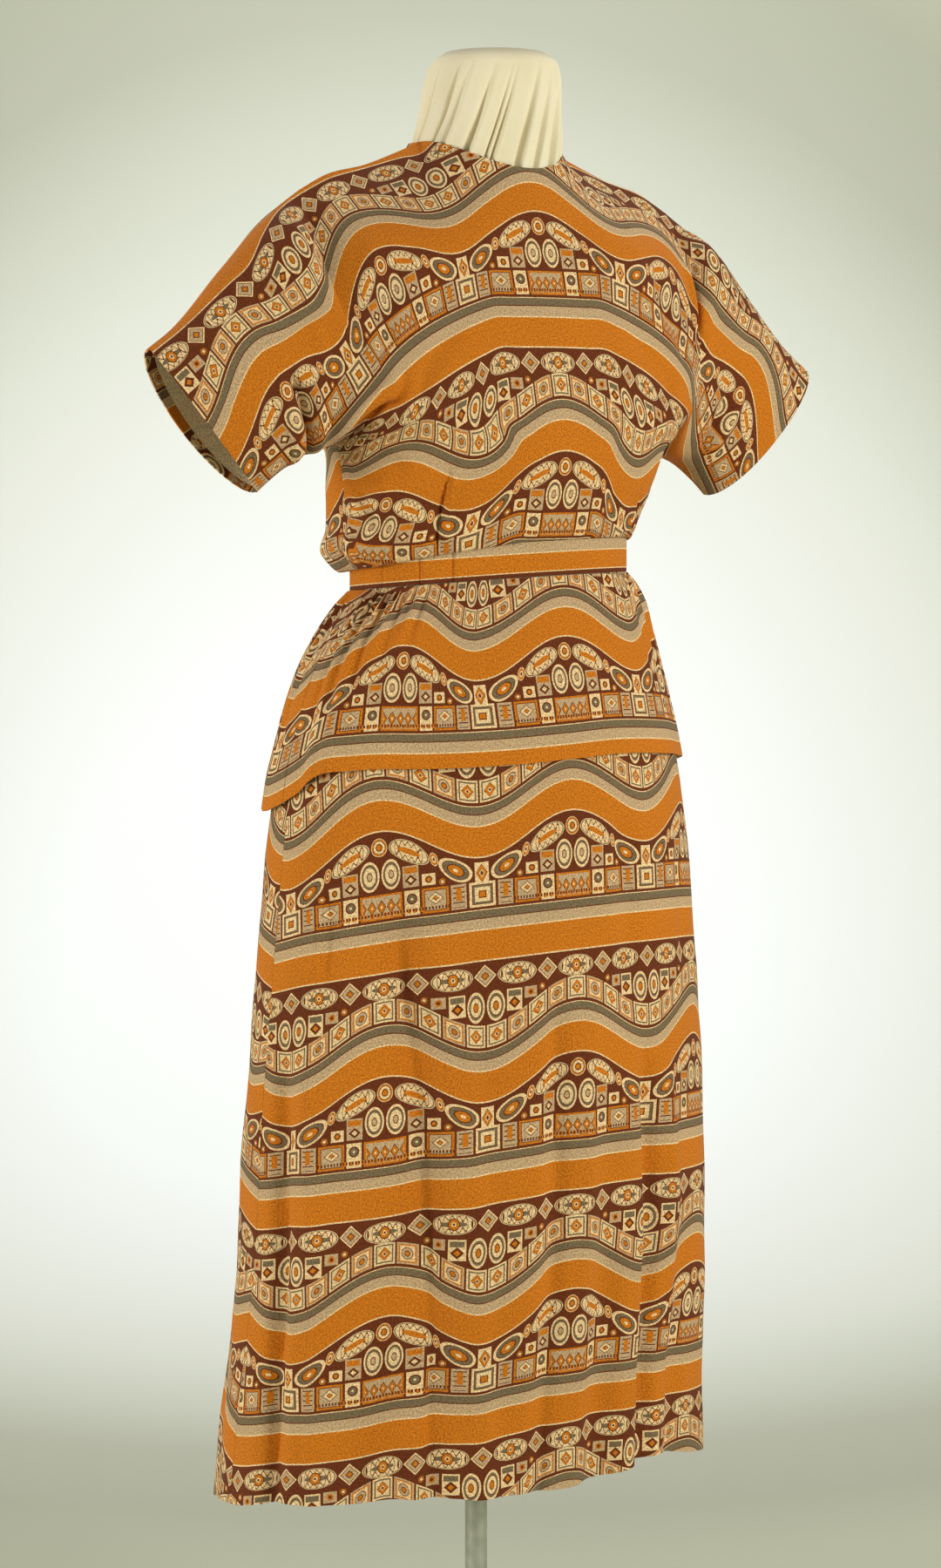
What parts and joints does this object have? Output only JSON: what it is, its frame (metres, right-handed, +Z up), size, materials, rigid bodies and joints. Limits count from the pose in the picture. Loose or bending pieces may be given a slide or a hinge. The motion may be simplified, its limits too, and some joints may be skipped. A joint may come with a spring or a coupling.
{
  "type": "day dress on a dress form",
  "caption": "Short-sleeved day dress with a bloused bodice, waistband, gathered peplum and A-line skirt, on a limbless dress form with a pole and a round base.",
  "frame": {"origin": "on the floor, at the centre of the base's underside, under the form's pole", "axes": "+Z up, the dress's front faces -Y, the wearer's left is +X"},
  "size_m": [0.66, 0.3564, 1.47],
  "materials": {
    "printed_rayon": "matt crepe",
    "cream_jersey": "matt jersey",
    "galvanised_steel": "dull",
    "grey_paint": "satin"
  },
  "bodies": {
    "root": {"bodice_front": "printed_rayon", "bodice_back": "printed_rayon", "waistband_front": "printed_rayon", "waistband_back": "printed_rayon", "peplum_front": "printed_rayon", "peplum_back": "printed_rayon", "skirt_front": "printed_rayon", "skirt_back": "printed_rayon", "form_torso": "cream_jersey", "form_neck_cover": "cream_jersey", "form_pole": "galvanised_steel", "form_base": "grey_paint"}
  },
  "joints": []
}
